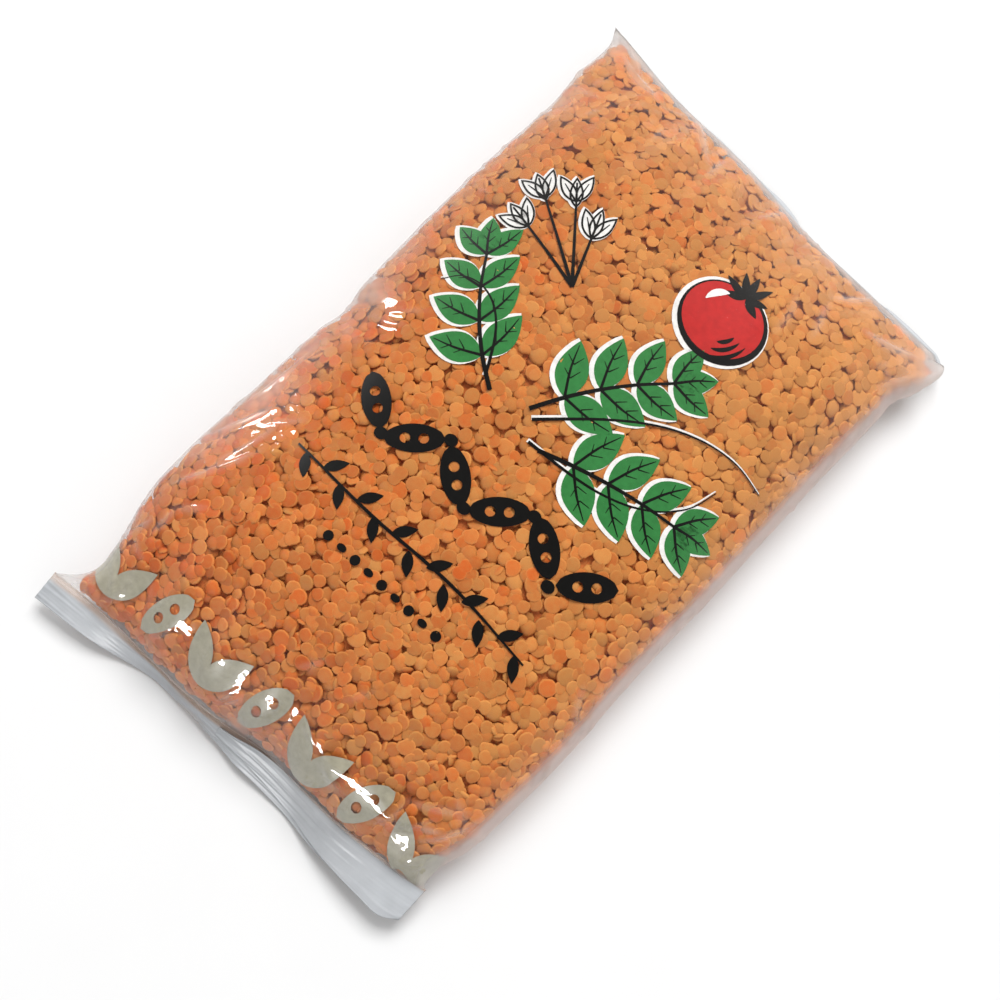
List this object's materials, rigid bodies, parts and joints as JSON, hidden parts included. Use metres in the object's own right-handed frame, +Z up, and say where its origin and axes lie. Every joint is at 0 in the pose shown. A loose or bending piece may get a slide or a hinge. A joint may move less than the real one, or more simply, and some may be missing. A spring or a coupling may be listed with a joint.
{
  "type": "bag of lentils",
  "caption": "Sealed clear pillow bag filled with split lentils, lying flat on its back, with a thin sealed fin at each end.",
  "frame": {"origin": "on the resting plane, under the middle of the bag's bounding box", "axes": "+Y along the bag to its top end, +X across it, +Z up through the printed face"},
  "size_m": [0.1646, 0.2742, 0.0427],
  "materials": {
    "filled_bag": "clear film drawn tight over orange lentils",
    "film": "clear glossy plastic film, finely creased",
    "seal": "milky sealed film with fine pressed ridges",
    "lentils": "dry split lentils, matt, uneven orange",
    "print_green": "green ink under the film",
    "print_red": "red ink under the film",
    "print_black": "black ink under the film",
    "print_white": "white ink under the film",
    "print_grey": "grey-beige ink under the film"
  },
  "bodies": {
    "root": {"bag": "filled_bag"}
  },
  "joints": []
}
